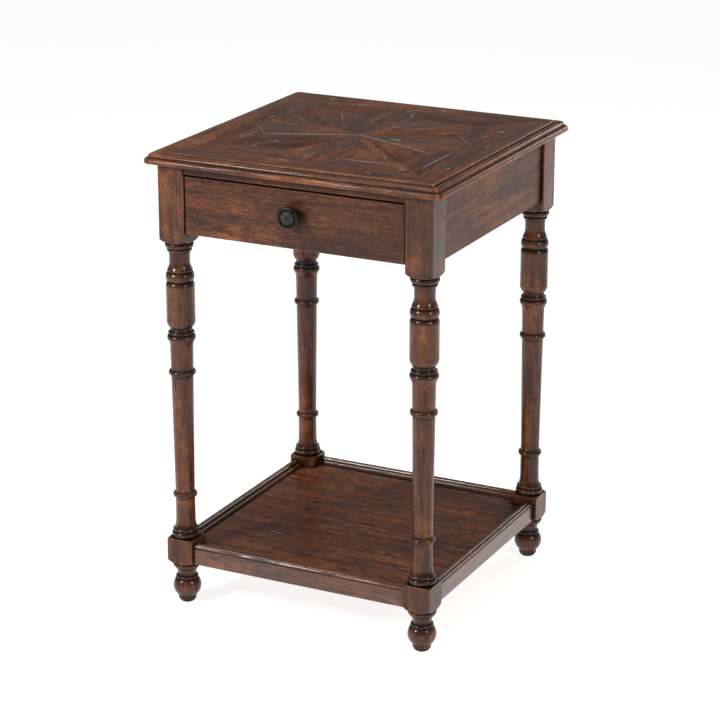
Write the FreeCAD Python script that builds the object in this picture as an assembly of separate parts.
"""Square side table with one drawer, four turned legs and a tray shelf.

Units are millimetres. +Z is up, the drawer faces -Y, and the origin is on the
floor at the middle of the table. Every physical piece is its own solid and is
written to parts/NAME.step.
"""
import FreeCAD, Part
import os
from math import cos, radians, sin, sqrt

V = FreeCAD.Vector
UP = V(0, 0, 1)

# ---------------------------------------------------------------- overall
table_height = 711.0        # floor to the top surface
top_width = 476.0           # across the moulded edge, along X
top_depth = 476.0           # across the moulded edge, along Y
top_overhang = 17.5         # moulded edge beyond the leg faces
leg_size = 43.0             # square of the leg blocks
leg_arris = 1.6             # rounding on the long corners of the blocks

# ---------------------------------------------------------------- top
top_thickness = 17.0        # core with its veneer, and the moulded edge
veneer_thickness = 3.0      # thick-sawn pieces laid on the core
edge_width = 22.0           # moulded edge strip, rim to joint
edge_corner = 14.0          # plan radius at the four corners of the rim
edge_tongue = 6.0           # tongue of the core into the edge strip
edge_tongue_height = 5.0
border_width = 36.0         # mitred frame of veneer round the star

# ---------------------------------------------------------------- frieze
apron_height = 103.0
apron_thickness = 19.0
apron_setback = 5.0         # apron face behind the leg face
tenon_length = 16.0
tenon_thickness = 8.0
tenon_shoulder = 9.0        # apron edge to tenon edge

edge_ease = 0.8             # rounding on the exposed edges of the frieze
rail_setback = 2.0          # front rail and drawer front behind the leg face
top_rail_height = 14.0
top_rail_depth = 30.0
bottom_rail_height = 18.0
bottom_rail_depth = 30.0
rail_tenon_length = 14.0
rail_tenon_shoulder = 3.0

runner_margin = 6.0         # runner and kicker past the drawer side
runner_height = 14.0
guide_height = 20.0
kicker_height = 14.0

# ---------------------------------------------------------------- drawer
drawer_front_thickness = 20.0
drawer_side_thickness = 12.0
drawer_back_thickness = 10.0
drawer_bottom_thickness = 5.0
drawer_side_gap = 1.5       # drawer to leg and guide, each side
drawer_top_gap = 2.5        # drawer front to top rail
drawer_runner_gap = 1.0     # drawer side to runner
drawer_kicker_gap = 4.0     # drawer side to kicker
drawer_stop_gap = 0.4       # drawer front to bottom rail when shut
drawer_tail_gap = 1.5       # drawer back to the rear legs' faces
groove_depth = 6.0
groove_height = 8.0         # lower edge of a drawer side to its groove
dado_depth = 5.0
dovetail_count = 3
dovetail_length = 13.0
dovetail_slope = 0.14
drawer_back_drop = 8.0      # drawer back below the sides

knob_projection = 19.0      # drawer face to the knob's crown
knob_radius = 16.5
knob_stem_radius = 6.0
knob_rise = 6.0             # knob above the middle of the drawer front
knob_bolt_radius = 2.0
knob_bolt_reach = 12.0
knob_bolt_head_radius = 4.5
knob_bolt_head_height = 2.5

# ---------------------------------------------------------------- legs
block_below_apron = 17.0    # upper block past the lower edge of the aprons
lower_block_bottom = 66.0   # floor to the lower block, the height of the foot
block_over_rail = 6.0       # lower block past the crown of the shelf rails

# ---------------------------------------------------------------- shelf
shelf_rail_height = 32.0
shelf_rail_width = 16.0
shelf_rail_setback = 5.5    # rail face behind the leg face
shelf_rail_lift = 3.0       # rail above the lower end of the block
shelf_tenon_length = 14.0
shelf_tenon_low = 6.0       # lower edge of a rail to its tenon
shelf_tenon_high = 7.0      # tenon to the crown of the rail
plank_count = 4
plank_thickness = 10.0
tray_depth = 11.0           # crown of the rails to the planks
plank_bevel = 1.0
cleat_width = 15.0
cleat_height = 11.0

# ---------------------------------------------------------------- screws
screw_radius = 2.0
screw_head_radius = 4.0
top_screw_reach = 9.0
shelf_screw_reach = 6.0

# ---------------------------------------------------------------- derived
half_w = top_width / 2
half_d = top_depth / 2
half_leg = leg_size / 2
leg_x = half_w - top_overhang - half_leg
leg_y = half_d - top_overhang - half_leg
face_x = leg_x + half_leg           # outer faces of the legs
face_y = leg_y + half_leg
inner_x = leg_x - half_leg          # inner faces of the legs
inner_y = leg_y - half_leg
top_under = table_height - top_thickness
core_top = table_height - veneer_thickness
field_w = half_w - edge_width       # half sizes inside the edge strip
field_d = half_d - edge_width
apron_bottom = top_under - apron_height
apron_mid = apron_setback + apron_thickness / 2
apron_in_x = face_x - apron_setback - apron_thickness
apron_in_y = face_y - apron_setback - apron_thickness
turning_top = apron_bottom - block_below_apron
front_face = -face_y + rail_setback
opening_top = top_under - top_rail_height
opening_bottom = apron_bottom + bottom_rail_height
bottom_rail_front = front_face + drawer_front_thickness + drawer_stop_gap
bottom_rail_back = bottom_rail_front + bottom_rail_depth
half_drawer = inner_x - drawer_side_gap
runner_in_x = half_drawer - drawer_side_thickness - runner_margin
shelf_rail_bottom = lower_block_bottom + shelf_rail_lift
shelf_rail_top = shelf_rail_bottom + shelf_rail_height
lower_block_top = shelf_rail_top + block_over_rail
plank_top = shelf_rail_top - tray_depth
plank_bottom = plank_top - plank_thickness
shelf_out_x = face_x - shelf_rail_setback
shelf_out_y = face_y - shelf_rail_setback
shelf_in_x = shelf_out_x - shelf_rail_width
shelf_in_y = shelf_out_y - shelf_rail_width

nodes = {}


# ================================================================ helpers
def box(x0, x1, y0, y1, z0, z1):
    """Box between two corners given as pairs of limits."""
    return Part.makeBox(x1 - x0, y1 - y0, z1 - z0, V(x0, y0, z0))


def prism(points, z0, z1):
    """Upright prism over a plan outline."""
    wire = Part.makePolygon([V(x, y, z0) for x, y in points] + [V(*points[0], z0)])
    return Part.Face(wire).extrude(V(0, 0, z1 - z0))


def outline(steps):
    """Closed wire in the XZ plane.

    Each step is (x, z) for a straight run, or (mid_x, mid_z, x, z) for an arc
    that passes through its middle point.
    """
    edges = []
    here = V(steps[0][0], 0, steps[0][1])
    start = here
    for step in steps[1:]:
        end = V(step[-2], 0, step[-1])
        if len(step) == 4:
            edges.append(Part.Arc(here, V(step[0], 0, step[1]), end).toShape())
        else:
            edges.append(Part.LineSegment(here, end).toShape())
        here = end
    if (here - start).Length > 1e-6:
        edges.append(Part.LineSegment(here, start).toShape())
    return Part.Wire(edges)


def turned(steps):
    """Solid turned about Z from an outline that starts and ends on the axis."""
    return Part.Face(outline(steps)).revolve(V(0, 0, 0), UP, 360)


def solid_of(shape):
    """The single solid inside a boolean's result."""
    found = shape.Solids
    if len(found) != 1:
        raise ValueError("expected one solid, found %d" % len(found))
    return found[0]


def moved(shape, x, y, z):
    """Copy of a shape, shifted."""
    copy = shape.copy()
    copy.translate(V(x, y, z))
    return copy


def eased(solid, is_exposed):
    """Solid with a small round on the edges whose boxes pass the test."""
    exposed = [edge for edge in solid.Edges if is_exposed(edge.BoundBox)]
    return solid.makeFillet(edge_ease, exposed)


def spun(shape, degrees):
    """Copy of a shape, turned about the table's upright middle line."""
    copy = shape.copy()
    copy.rotate(V(0, 0, 0), UP, degrees)
    return copy


# ================================================================ top
def edge_section():
    """Section of the moulded edge: X runs inwards from the rim, Z is height.

    From the field outwards: a small rounded lip, a narrow quirk, an ovolo, and
    a rounded nose with a tight arris above the flat underside. Places are
    shares of the strip's width and of its thickness, counted from the top.
    """
    def at(across, down):
        return (edge_width * across, table_height - top_thickness * down)

    return [
        at(1.0, 1.0),
        at(1.0, 0.0),
        at(0.918, 0.0),
        at(0.845, 0.035) + at(0.806, 0.118),     # lip
        at(0.800, 0.212), at(0.756, 0.212),      # quirk
        at(0.738, 0.165),
        at(0.590, 0.118) + at(0.440, 0.162),     # crown of the ovolo
        at(0.320, 0.250) + at(0.272, 0.435),     # its rounded edge
        at(0.268, 0.506), at(0.218, 0.524),
        at(0.064, 0.588) + at(0.0, 0.765),       # nose
        at(0.004, 0.900),
        at(0.024, 0.972) + at(0.090, 1.0),       # lower arris
    ]


def edge_strip(half_length, distance):
    """Moulded strip along X on the -Y side, round at its corners, cut to mitres."""
    r = edge_corner
    run = half_length - r
    section = Part.Face(outline(edge_section()))
    section.rotate(V(0, 0, 0), UP, 90)
    section.translate(V(-run, -distance, 0))
    strip = section.extrude(V(2 * run, 0, 0))
    # round the corner, the section turns about the corner's centre
    outer = section.common(box(-run - 1, -run + 1, -distance - 1, -distance + r,
                               top_under - 1, table_height + 1))
    left = outer.revolve(V(-run, -distance + r, 0), UP, -90)
    right = moved(outer, 2 * run, 0, 0).revolve(V(run, -distance + r, 0), UP, 90)
    strip = strip.fuse([left, right])
    # a wedge between the two diagonals, a little larger than the strip all round
    spare = 10.0
    t = edge_width + spare
    plan = [(-half_length - spare, -distance - spare), (half_length + spare, -distance - spare),
            (half_length - t, -distance + t), (-half_length + t, -distance + t)]
    return strip.common(prism(plan, top_under - 1, table_height + 1))


def make_top():
    """Core, four mitred edge strips and the veneer laid on the core."""
    tongue_mid = top_under + (top_thickness - veneer_thickness) / 2
    t0 = tongue_mid - edge_tongue_height / 2
    t1 = tongue_mid + edge_tongue_height / 2
    core = box(-field_w, field_w, -field_d, field_d, top_under, core_top)
    tongue_w = field_w + edge_tongue
    tongue_d = field_d + edge_tongue
    core = core.fuse(box(-tongue_w, tongue_w, -tongue_d, tongue_d, t0, t1))
    nodes["top_core"] = solid_of(core.removeSplitter())

    tongue = box(-tongue_w, tongue_w, -tongue_d, tongue_d, t0, t1)
    sides = ("front", "right", "back", "left")
    for k, side in enumerate(sides):
        half_length, distance = (half_w, half_d) if k % 2 == 0 else (half_d, half_w)
        strip = spun(edge_strip(half_length, distance), 90 * k)
        nodes["top_edge_" + side] = solid_of(strip.cut(tongue).removeSplitter())
    make_veneer()


def make_veneer():
    """Mitred border, eight kites of the star and the pieces that fill round it."""
    z0 = core_top
    z1 = table_height
    star_w = field_w - border_width
    star_d = field_d - border_width
    borders = {
        "front": [(-field_w, -field_d), (field_w, -field_d), (star_w, -star_d), (-star_w, -star_d)],
        "right": [(field_w, -field_d), (field_w, field_d), (star_w, star_d), (star_w, -star_d)],
        "back": [(field_w, field_d), (-field_w, field_d), (-star_w, star_d), (star_w, star_d)],
        "left": [(-field_w, field_d), (-field_w, -field_d), (-star_w, -star_d), (-star_w, star_d)],
    }
    for side, plan in borders.items():
        nodes["border_" + side] = prism(plan, z0, z1)

    # the star is drawn on a unit square and stretched to the border
    def spot(radius, degrees):
        a = radians(degrees)
        return (star_w * radius * cos(a), star_d * radius * sin(a))

    notch = sqrt(0.5) / cos(radians(22.5))
    names = ("right", "back_right", "back", "back_left", "left", "front_left", "front", "front_right")
    for k, name in enumerate(names):
        a = 45.0 * k
        kite = [(0.0, 0.0), spot(notch, a - 22.5), spot(1.0, a), spot(notch, a + 22.5)]
        nodes["star_" + name] = prism(kite, z0, z1)
    for k in range(8):
        # from a tip on the border to the next diagonal tip, out to the border's corner
        corner = 90.0 * (k // 2) + 45.0
        side = 1 if k % 2 else -1
        axis_tip = spot(1.0, corner + side * 45.0)
        plan = [axis_tip, spot(sqrt(2.0), corner), spot(1.0, corner), spot(notch, corner + side * 22.5)]
        if side > 0:
            plan.reverse()
        quarter = ("back_right", "back_left", "front_left", "front_right")[k // 2]
        lies_along_y = abs(axis_tip[0]) > abs(axis_tip[1])
        end = "side" if lies_along_y else "end"
        nodes["infill_%s_%s" % (quarter, end)] = prism(plan, z0, z1)


# ================================================================ legs
def leg_turning():
    """Whole leg, turned round, before the blocks are squared.

    Radii are shares of the block's half width. The foot's heights are shares
    of its own height; the upper group hangs from the upper block and the lower
    group stands on the lower block, so the plain tapered shaft takes up the rest.
    """
    t = turning_top
    b = lower_block_top
    f = lower_block_bottom
    corner = half_leg * sqrt(2.0) + 1.0

    def foot(share, rise):
        return (half_leg * share, f * rise)

    def at(share, z):
        return (half_leg * share, z)

    return [
        foot(0.0, 0.0), foot(0.42, 0.0),
        foot(0.575, 0.045) + foot(0.640, 0.150),              # pad, rounded under
        foot(0.658, 0.168),
        foot(0.998, 0.418) + foot(0.800, 0.582),              # ball
        foot(0.762, 0.590), foot(0.762, 0.602),
        foot(0.802, 0.628) + foot(0.732, 0.662),              # small bead on the ball
        foot(0.672, 0.667), foot(0.672, 0.682),
        foot(0.715, 0.790) + foot(0.890, 0.868),              # cove
        foot(0.890, 0.884),
        foot(0.993, 0.934) + foot(0.930, 0.985),              # bead under the block
        foot(0.880, 0.988), foot(0.880, 1.0), foot(0.925, 1.0),
        (corner - 3.0, f + 4.0, corner, f + 11.0),            # turned lower shoulder
        (corner, b - 6.0),
        (corner - 3.2, b - 1.4) + at(1.116, b),               # turned upper shoulder
        at(0.880, b), at(0.880, b + 0.8),
        at(0.998, b + 5.0) + at(0.930, b + 9.0),              # base torus
        at(0.868, b + 9.4), at(0.868, b + 10.2),
        at(0.916, b + 12.4) + at(0.852, b + 15.0),            # bead on the torus
        at(0.806, b + 15.4),
        at(0.730, b + 21.0) + at(0.693, b + 31.0),            # sweep into the shaft
        at(0.684, b + 63.0),
        at(0.700, b + 64.6),
        at(0.860, b + 69.0) + at(0.700, b + 73.4),            # lower ring
        at(0.679, b + 75.0),
        at(0.772, t - 213.4),                                 # tapered shaft
        at(0.780, t - 207.6),
        at(0.953, t - 203.0) + at(0.790, t - 198.4),          # upper ring
        at(0.786, t - 194.0),
        at(0.806, t - 162.0),
        at(0.850, t - 156.0) + at(0.940, t - 151.8),          # swelling below the torus
        at(0.998, t - 147.4) + at(0.915, t - 143.8),          # torus under the barrel
        at(0.862, t - 143.4), at(0.862, t - 142.8),
        at(0.916, t - 140.8) + at(0.866, t - 138.4),          # bead on the torus
        at(0.784, t - 136.8) + at(0.762, t - 134.4),
        at(0.762, t - 132.6), at(0.815, t - 132.0),           # fillet
        at(0.952, t - 127.4) + at(0.995, t - 119.0),          # bowl of the barrel
        at(0.995, t - 70.0),
        at(0.976, t - 64.8) + at(0.918, t - 62.4),            # shoulder of the barrel
        at(0.835, t - 62.0), at(0.835, t - 60.6), at(0.912, t - 60.2),
        at(0.998, t - 54.0) + at(0.908, t - 47.8),            # torus above the barrel
        at(0.826, t - 47.4), at(0.826, t - 46.6),
        at(0.880, t - 44.4) + at(0.846, t - 42.0),            # bead below the neck
        at(0.736, t - 35.6) + at(0.716, t - 28.0),            # long cove
        at(0.724, t - 20.6) + at(0.752, t - 16.0),
        at(0.800, t - 15.2),
        at(0.866, t - 13.0) + at(0.812, t - 10.8),            # bead above the neck
        at(0.812, t - 10.0), at(0.893, t - 9.6),
        at(0.995, t - 5.2) + at(0.905, t - 1.0),              # collar torus
        at(0.845, t - 0.8), at(0.845, t), at(0.958, t),
        (corner - 3.6, t + 2.8, corner, t + 9.6),             # turned shoulder of the block
        (corner, top_under), (0.0, top_under),
    ]


def make_legs():
    """Four legs, each in one length from the top to the floor, with mortises."""
    squared = box(-half_leg, half_leg, -half_leg, half_leg, 0, top_under)
    posts = [edge for edge in squared.Edges if abs(edge.tangentAt(0).z) > 0.9]
    squared = squared.makeFillet(leg_arris, posts)
    blank = solid_of(turned(leg_turning()).common(squared))
    for name, sx, sy in (("front_left", -1, -1), ("front_right", 1, -1),
                         ("back_left", -1, 1), ("back_right", 1, 1)):
        leg = moved(blank, sx * leg_x, sy * leg_y, 0)
        for tool in mortise_tools:
            leg = leg.cut(tool)
        nodes["leg_" + name] = solid_of(leg)


# ================================================================ frieze
mortise_tools = []


def tenons(kind, place, low, high, length, thickness):
    """Two tenons of a rail, one past each leg face, also noted as mortises.

    kind is "x" for a rail that runs along X at y = place, or "y" for one that
    runs along Y at x = place.
    """
    pair = []
    for s in (-1, 1):
        if kind == "x":
            ends = sorted((s * inner_x, s * (inner_x + length)))
            peg = box(*ends, place - thickness / 2, place + thickness / 2, low, high)
        else:
            ends = sorted((s * inner_y, s * (inner_y + length)))
            peg = box(place - thickness / 2, place + thickness / 2, *ends, low, high)
        pair.append(peg)
        mortise_tools.append(peg)
    return pair


def make_frieze():
    """Side and back aprons, and the rails above and below the drawer."""
    low = apron_bottom + tenon_shoulder
    high = top_under - tenon_shoulder
    for name, s in (("left", -1), ("right", 1)):
        x0, x1 = sorted((s * apron_in_x, s * (apron_in_x + apron_thickness)))
        apron = box(x0, x1, -inner_y, inner_y, apron_bottom, top_under)
        apron = eased(apron, lambda b: b.ZMax < apron_bottom + 0.1 and s * b.Center.x > apron_in_x + 1)
        for peg in tenons("y", s * (face_x - apron_mid), low, high, tenon_length, tenon_thickness):
            apron = apron.fuse(peg)
        nodes["side_apron_" + name] = solid_of(apron)
    back = box(-inner_x, inner_x, apron_in_y, apron_in_y + apron_thickness, apron_bottom, top_under)
    back = eased(back, lambda b: b.ZMax < apron_bottom + 0.1 and b.YMin > apron_in_y + 1)
    for peg in tenons("x", face_y - apron_mid, low, high, tenon_length, tenon_thickness):
        back = back.fuse(peg)
    nodes["back_apron"] = solid_of(back)

    rail = box(-inner_x, inner_x, front_face, front_face + top_rail_depth, opening_top, top_under)
    rail = eased(rail, lambda b: b.ZMax < opening_top + 0.1 and b.YMax < front_face + 0.1)
    peg_depth = top_rail_depth - 4 * rail_tenon_shoulder
    peg_y = front_face + top_rail_depth / 2
    for peg in tenons("x", peg_y, opening_top + rail_tenon_shoulder,
                      top_under - rail_tenon_shoulder, rail_tenon_length, peg_depth):
        rail = rail.fuse(peg)
    nodes["front_top_rail"] = solid_of(rail)

    rail = box(-inner_x, inner_x, bottom_rail_front, bottom_rail_back, apron_bottom, opening_bottom)
    # this tenon keeps to the part of the rail that lies against the leg
    peg_back = -inner_y - rail_tenon_shoulder
    peg_front = bottom_rail_front + rail_tenon_shoulder
    for peg in tenons("x", (peg_back + peg_front) / 2, apron_bottom + rail_tenon_shoulder,
                      opening_bottom - rail_tenon_shoulder, rail_tenon_length, peg_back - peg_front):
        rail = rail.fuse(peg)
    nodes["front_bottom_rail"] = solid_of(rail)


def make_drawer_ways():
    """Runner, guide and kicker on the inside of each side apron."""
    for name, s in (("left", -1), ("right", 1)):
        out = s * apron_in_x
        wide = sorted((out, s * runner_in_x))
        narrow = sorted((out, s * inner_x))
        nodes["drawer_runner_" + name] = box(
            *wide, bottom_rail_back, inner_y, opening_bottom - runner_height, opening_bottom)
        nodes["drawer_guide_" + name] = box(
            *narrow, bottom_rail_back, inner_y, opening_bottom, opening_bottom + guide_height)
        nodes["drawer_kicker_" + name] = box(
            *wide, -inner_y, inner_y, top_under - kicker_height, top_under)


def wood_screw(reach_in, length, x, y, z):
    """Countersunk screw pointing up, its head flush with the face at z."""
    head = screw_head_radius - screw_radius
    total = length + reach_in
    return turned([
        (0.0, 0.0), (screw_head_radius, 0.0), (screw_radius, head),
        (screw_radius, total - 2.0), (0.0, total),
    ]).translated(V(x, y, z))


def make_top_screws():
    """Screws up through the kickers and the front rail into the core."""
    screws = []
    kicker_mid = (apron_in_x + runner_in_x) / 2
    for s in (-1, 1):
        for y in (-inner_y * 0.75, inner_y * 0.75):
            screws.append(wood_screw(top_screw_reach, kicker_height, s * kicker_mid, y,
                                     top_under - kicker_height))
        screws.append(wood_screw(top_screw_reach, top_rail_height, s * inner_x / 2,
                                 front_face + top_rail_depth / 2, opening_top))
    group = Part.makeCompound(screws)
    for name in ("drawer_kicker_left", "drawer_kicker_right", "front_top_rail", "top_core"):
        nodes[name] = solid_of(nodes[name].cut(group))
    nodes["top_screws"] = group


# ================================================================ drawer
def dovetail(low, high, y_root, y_tip, x0, x1):
    """One tail: a slab across a drawer side that widens towards its tip."""
    spread = abs(y_tip - y_root) * dovetail_slope
    points = [(y_root, low), (y_tip, low - spread), (y_tip, high + spread), (y_root, high)]
    wire = Part.makePolygon([V(x0, y, z) for y, z in points + points[:1]])
    return Part.Face(wire).extrude(V(x1 - x0, 0, 0))


def make_drawer():
    """Dovetailed drawer box with its front, and the knob bolted to it."""
    front_low = apron_bottom
    front_high = opening_top - drawer_top_gap
    back_of_front = front_face + drawer_front_thickness
    low = opening_bottom + drawer_runner_gap
    high = opening_top - drawer_kicker_gap
    rear = inner_y - drawer_tail_gap
    groove_low = low + groove_height
    groove_high = groove_low + drawer_bottom_thickness

    front = box(-half_drawer, half_drawer, front_face, back_of_front, front_low, front_high)
    front = eased(front, lambda b: b.YMax < front_face + 0.1)
    tip = back_of_front - dovetail_length
    pitch = (high - low) / dovetail_count
    box_in_x = half_drawer - drawer_side_thickness
    for name, s in (("left", -1), ("right", 1)):
        x0, x1 = sorted((s * half_drawer, s * box_in_x))
        side = box(x0, x1, back_of_front, rear, low, high)
        for k in range(dovetail_count):
            tail_low = low + pitch * (k + 0.22)
            tail_high = low + pitch * (k + 0.78)
            tail = dovetail(tail_low, tail_high, back_of_front, tip, x0, x1)
            side = side.fuse(tail)
            front = front.cut(tail)
        groove = sorted((s * box_in_x, s * (box_in_x + groove_depth)))
        side = side.cut(box(*groove, tip, rear, groove_low, groove_high))
        dado = sorted((s * box_in_x, s * (box_in_x + dado_depth)))
        dado_y = rear - 2 * drawer_back_thickness
        side = side.cut(box(*dado, dado_y, dado_y + drawer_back_thickness,
                            groove_high, high - drawer_back_drop))
        nodes["drawer_side_" + name] = solid_of(side)

    groove_w = box_in_x + groove_depth
    groove_front = back_of_front - groove_depth
    front = front.cut(box(-groove_w, groove_w, groove_front, back_of_front, groove_low, groove_high))
    nodes["drawer_bottom"] = box(-groove_w, groove_w, groove_front, rear, groove_low, groove_high)
    back_w = box_in_x + dado_depth
    back_y = rear - 2 * drawer_back_thickness
    nodes["drawer_back"] = box(-back_w, back_w, back_y, back_y + drawer_back_thickness,
                               groove_high, high - drawer_back_drop)

    knob_z = (front_low + front_high) / 2 + knob_rise
    bolt = knob_bolt(drawer_front_thickness)
    bolt.rotate(V(0, 0, 0), V(1, 0, 0), 90)
    bolt.translate(V(0, back_of_front, knob_z))
    knob = turned(knob_profile())
    knob.rotate(V(0, 0, 0), V(1, 0, 0), 90)
    knob.translate(V(0, front_face, knob_z))
    nodes["knob_bolt"] = solid_of(bolt)
    nodes["drawer_knob"] = solid_of(knob.cut(bolt))
    nodes["drawer_front"] = solid_of(front.cut(bolt))


def knob_profile():
    """Cast knob: foot ring, waisted stem, flat head with rim, groove and boss.

    Height runs along the knob's own axis, from the drawer face outwards.
    """
    p = knob_projection
    r = knob_radius
    n = knob_stem_radius
    return [
        (0.0, 0.0), (n + 3.5, 0.0), (n + 3.5, p * 0.07),
        (n + 2.6, p * 0.13), (n + 0.4, p * 0.18),             # foot ring
        (n - 1.0, p * 0.36, n + 0.6, p * 0.52),               # waist
        (n + 4.4, p * 0.60), (r - 1.6, p * 0.61),             # back of the head
        (r, p * 0.74, r - 0.6, p * 0.87),
        (r - 2.0, p * 0.94, r - 3.6, p * 0.87),               # raised rim
        (r - 4.2, p * 0.83), (r - 5.4, p * 0.83),             # groove
        (r - 8.0, p * 0.94, 3.4, p * 0.95),                   # disc
        (2.9, p * 0.98, 1.6, p),                              # boss
        (0.0, p),
    ]


def knob_bolt(grip):
    """Bolt along +Z: its head stands behind z = 0 and its shank goes forwards."""
    shank = grip + knob_bolt_reach
    return turned([
        (0.0, -knob_bolt_head_height), (knob_bolt_head_radius - 0.8, -knob_bolt_head_height),
        (knob_bolt_head_radius, -knob_bolt_head_height + 0.8), (knob_bolt_head_radius, 0.0),
        (knob_bolt_radius, 0.0), (knob_bolt_radius, shank), (0.0, shank),
    ])


# ================================================================ shelf
def shelf_rail_section():
    """Section of a shelf rail: X runs inwards from its outer face.

    A quirked bead along the outer edge, a broad rounded crown that falls
    inwards, and a thin bead at the foot of it beside the planks.
    """
    w = shelf_rail_width
    top = shelf_rail_top
    return [
        (0.0, shelf_rail_bottom), (0.0, top - 6.6),
        (w * 0.056, top - 6.3), (w * 0.056, top - 5.4),       # quirk in the face
        (w * 0.012, top - 3.3, w * 0.125, top - 1.6),         # outer bead
        (w * 0.20, top - 2.0), (w * 0.225, top - 3.3),        # quirk
        (w * 0.40, top, w * 0.70, top - 3.6),                 # crown
        (w * 0.75, top - 5.6), (w * 0.79, top - 6.4),
        (w * 0.89, top - 4.9, w * 0.97, top - 6.6),           # inner bead
        (w, top - 7.8), (w, shelf_rail_bottom),
    ]


def make_shelf():
    """Four moulded rails round a tray of planks that lie on two cleats."""
    section = outline(shelf_rail_section())
    low = shelf_rail_bottom + shelf_tenon_low
    high = shelf_rail_top - shelf_tenon_high
    mid = shelf_rail_setback + shelf_rail_width / 2
    for name, s in (("front", -1), ("back", 1)):
        face = Part.Face(section.copy())
        face.rotate(V(0, 0, 0), UP, -90 * s)
        # one end of the rail at the leg face; the section now faces outwards
        face.translate(V(-inner_x, s * shelf_out_y, 0))
        rail = face.extrude(V(2 * inner_x, 0, 0))
        for peg in tenons("x", s * (face_y - mid), low, high, shelf_tenon_length, tenon_thickness):
            rail = rail.fuse(peg)
        nodes["shelf_rail_" + name] = solid_of(rail)
    for name, s in (("left", -1), ("right", 1)):
        face = Part.Face(section.copy())
        if s > 0:
            face.rotate(V(0, 0, 0), UP, 180)
        face.translate(V(s * shelf_out_x, -inner_y, 0))
        rail = face.extrude(V(0, 2 * inner_y, 0))
        for peg in tenons("y", s * (face_x - mid), low, high, shelf_tenon_length, tenon_thickness):
            rail = rail.fuse(peg)
        nodes["shelf_rail_" + name] = solid_of(rail)
        cleat = sorted((s * shelf_in_x, s * (shelf_in_x - cleat_width)))
        nodes["shelf_cleat_" + name] = box(*cleat, -inner_y, inner_y,
                                           plank_bottom - cleat_height, plank_bottom)
    make_planks()


def make_planks():
    """Planks along X with eased top edges, the outer two cut round the legs."""
    width = 2 * shelf_in_y / plank_count
    screws = []
    for k in range(plank_count):
        y0 = -shelf_in_y + width * k
        plank = box(-shelf_in_x, shelf_in_x, y0, y0 + width, plank_bottom, plank_top)
        upper = [e for e in plank.Edges
                 if abs(e.tangentAt(0).x) > 0.9 and e.BoundBox.ZMin > plank_top - 0.1]
        plank = plank.makeChamfer(plank_bevel, upper)
        for sx in (-1, 1):
            for sy in (-1, 1):
                x0, x1 = sorted((sx * inner_x, sx * (face_x + 1)))
                c0, c1 = sorted((sy * inner_y, sy * (face_y + 1)))
                plank = plank.cut(box(x0, x1, c0, c1, plank_bottom - 1, plank_top + 1))
            # the middle of the stretch that lies on the cleat
            y = (max(y0, -inner_y) + min(y0 + width, inner_y)) / 2
            screws.append(wood_screw(shelf_screw_reach, cleat_height,
                                     sx * (shelf_in_x - cleat_width / 2), y,
                                     plank_bottom - cleat_height))
        nodes["shelf_plank_%d" % (k + 1)] = solid_of(plank)
    group = Part.makeCompound(screws)
    cut_names = ["shelf_plank_%d" % (k + 1) for k in range(plank_count)]
    for name in cut_names + ["shelf_cleat_left", "shelf_cleat_right"]:
        nodes[name] = solid_of(nodes[name].cut(group))
    nodes["shelf_screws"] = group


# ================================================================ build
make_top()
make_frieze()
make_drawer_ways()
make_top_screws()
make_drawer()
make_shelf()
make_legs()

os.makedirs("parts", exist_ok=True)
for node_name, shape in nodes.items():
    shape.exportStep("parts/%s.step" % node_name)
    print("%-24s %d solid  %8.1f cm3" % (node_name, len(shape.Solids), shape.Volume / 1000))
print(len(nodes), "nodes")
